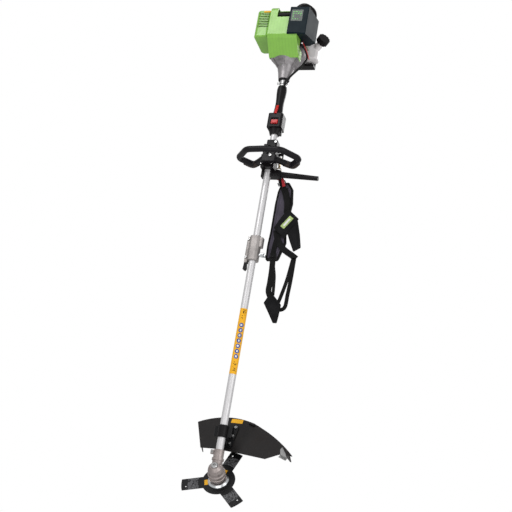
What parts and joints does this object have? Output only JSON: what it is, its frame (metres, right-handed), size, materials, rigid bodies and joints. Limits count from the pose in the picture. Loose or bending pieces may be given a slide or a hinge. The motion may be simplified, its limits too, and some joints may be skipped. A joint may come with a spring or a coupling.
{
  "type": "brush cutter",
  "caption": "Hand-held petrol brush cutter: long drive tube with a toothed star blade and guard below, a loop handle and grip, and a small engine with tank at the top.",
  "frame": {"origin": "on the tube's centre line at the holding point between the pads and the loop handle", "axes": "+Z up the tube towards the engine, -Y up in use, +X to the operator's left"},
  "size_m": [0.374, 0.308, 1.9239],
  "materials": {
    "silver_tube": "satin",
    "gear_case_alloy": "brushed, slightly rough",
    "cast_alloy": "sand cast",
    "red_plastic": "satin red",
    "coupling_alloy": "sand cast",
    "steel": "satin",
    "flange_steel": "polished",
    "blade_paint": "satin black paint",
    "guard_plastic": "satin black",
    "black_plastic": "fine texture",
    "loop_plastic": "satin black",
    "green_plastic": "lime green, semi gloss",
    "dark_cover": "blue black",
    "foam": "open foam",
    "rubber_black": "matte",
    "tank_plastic": "milky white",
    "hook_metal": "dull bronze",
    "pad_purple": "woven",
    "pad_dark": "woven",
    "webbing": "flat woven webbing"
  },
  "bodies": {
    "frame_tube": {"barrier_bar": "black_plastic", "carburettor": "cast_alloy", "clamp_screws": "steel", "clutch_housing": "cast_alloy", "coupling_body": "coupling_alloy", "crankcase": "cast_alloy", "cylinder": "cast_alloy", "engine_shroud": "green_plastic", "filter_base": "black_plastic", "filter_element": "foam", "fuel_tank": "tank_plastic", "grip_left": "black_plastic", "grip_right": "black_plastic", "handle_bracket": "black_plastic", "loop_handle": "loop_plastic", "muffler": "steel", "muffler_cover": "green_plastic", "piston": "cast_alloy", "plug_boot": "rubber_black", "shaft_bushes": "black_plastic", "spark_plug": "steel", "starter_housing": "black_plastic", "tank_guard": "black_plastic", "throttle_loom": "rubber_black", "upper_tube": "silver_tube"},
    "lower_unit": {"lower_tube": "silver_tube", "gear_case": "gear_case_alloy", "grease_plug": "steel", "gear_bearings": "steel", "guard": "guard_plastic", "guard_bracket": "blade_paint", "guard_sleeve": "black_plastic", "guard_bolts": "steel", "line_cutter": "steel"},
    "blade_set": {"bevel_gear": "steel", "output_spindle": "steel", "blade_flange": "flange_steel", "blade": "blade_paint", "blade_nut": "flange_steel"},
    "lower_drive": {"lower_drive_shaft": "steel", "bevel_pinion": "steel"},
    "upper_drive": {"upper_drive_shaft": "steel", "clutch_drum": "steel"},
    "crank": {"crankshaft": "steel", "flywheel": "cast_alloy", "clutch_shoes": "steel"},
    "rope_handle": {"starter_handle": "black_plastic"},
    "rope_pulley": {"starter_pulley": "black_plastic"},
    "trigger": {"throttle_trigger": "red_plastic"},
    "lockout": {"lockout_lever": "red_plastic"},
    "switch": {"stop_switch": "red_plastic"},
    "choke": {"choke_lever": "black_plastic"},
    "tank_cap": {"fuel_cap": "black_plastic"},
    "air_filter_cover": {"filter_cover": "dark_cover"},
    "wing_knob": {"clamp_knob": "flange_steel"},
    "coupling_lever": {"lock_lever": "black_plastic"},
    "hook": {"snap_hook": "hook_metal"},
    "harness": {"hip_pad": "pad_purple", "harness_pads": "pad_dark", "harness_straps": "webbing"}
  },
  "joints": [
    {"name": "tube_pull", "type": "slide", "parent": "frame_tube", "child": "lower_unit", "axis": [0, 0, -1], "range_m": [0, 0.06]},
    {"name": "blade_spin", "type": "hinge", "parent": "lower_unit", "child": "blade_set", "pos_m": [0, 0, -0.96], "axis": [0, -0.866, 0.5], "continuous": true},
    {"name": "lower_drive_spin", "type": "hinge", "parent": "lower_unit", "child": "lower_drive", "pos_m": [0, 0, -0.5], "axis": [0, 0, 1], "continuous": true},
    {"name": "upper_drive_spin", "type": "hinge", "parent": "frame_tube", "child": "upper_drive", "pos_m": [0, 0, 0.2], "axis": [0, 0, 1], "continuous": true},
    {"name": "crank_spin", "type": "hinge", "parent": "frame_tube", "child": "crank", "pos_m": [0, 0, 0.7], "axis": [0, 0, 1], "continuous": true},
    {"name": "rope_pull", "type": "slide", "parent": "frame_tube", "child": "rope_handle", "axis": [0.6, -0.25, 0.76], "range_m": [0, 0.6], "stiffness_N_per_m": 15, "springref_m": -0.4},
    {"name": "pulley_spin", "type": "hinge", "parent": "frame_tube", "child": "rope_pulley", "pos_m": [0, 0, 0.78], "axis": [0, 0, 1], "continuous": true},
    {"name": "trigger_squeeze", "type": "hinge", "parent": "frame_tube", "child": "trigger", "pos_m": [0, 0.019, 0.379], "axis": [-1, 0, 0], "range_deg": [0, 12], "stiffness_Nm_per_rad": 0.3, "springref_deg": -17.19},
    {"name": "lockout_press", "type": "hinge", "parent": "frame_tube", "child": "lockout", "pos_m": [0, -0.019, 0.417], "axis": [1, 0, 0], "range_deg": [0, 8], "stiffness_Nm_per_rad": 0.3, "springref_deg": -17.19},
    {"name": "stop_slide", "type": "slide", "parent": "frame_tube", "child": "switch", "axis": [0, 0, 1], "range_m": [0, 0.006]},
    {"name": "choke_swing", "type": "hinge", "parent": "frame_tube", "child": "choke", "pos_m": [0.055, -0.073, 0.701], "axis": [0, 1, 0], "range_deg": [0, 40]},
    {"name": "cap_turn", "type": "hinge", "parent": "frame_tube", "child": "tank_cap", "pos_m": [0.12189, 0.02673, 0.73564], "axis": [0.6498, -0.6798, 0.3399], "continuous": true},
    {"name": "cover_pull", "type": "slide", "parent": "frame_tube", "child": "air_filter_cover", "axis": [1, 0, 0], "range_m": [0, 0.05]},
    {"name": "knob_turn", "type": "hinge", "parent": "frame_tube", "child": "wing_knob", "pos_m": [0.03, 0, -0.183], "axis": [1, 0, 0], "continuous": true},
    {"name": "lever_swing", "type": "hinge", "parent": "frame_tube", "child": "coupling_lever", "pos_m": [-0.024, 0, -0.211], "axis": [0, 1, 0], "range_deg": [0, 50]},
    {"name": "hook_swing", "type": "hinge", "parent": "frame_tube", "child": "hook", "pos_m": [0.028, 0.036, 0.228], "axis": [0, 1, 0], "range_deg": [-25, 12]},
    {"name": "harness_swing", "type": "hinge", "parent": "hook", "child": "harness", "pos_m": [0.028, 0.036, 0.1693], "axis": [0, 1, 0], "range_deg": [-25, 40]}
  ],
  "couplings": [
    {"joint": "lower_drive_spin", "follows": "blade_spin", "ratio": 1.3846},
    {"joint": "upper_drive_spin", "follows": "blade_spin", "ratio": 1.3846},
    {"joint": "pulley_spin", "follows": "rope_pull", "rad_per_m": 35.7}
  ]
}
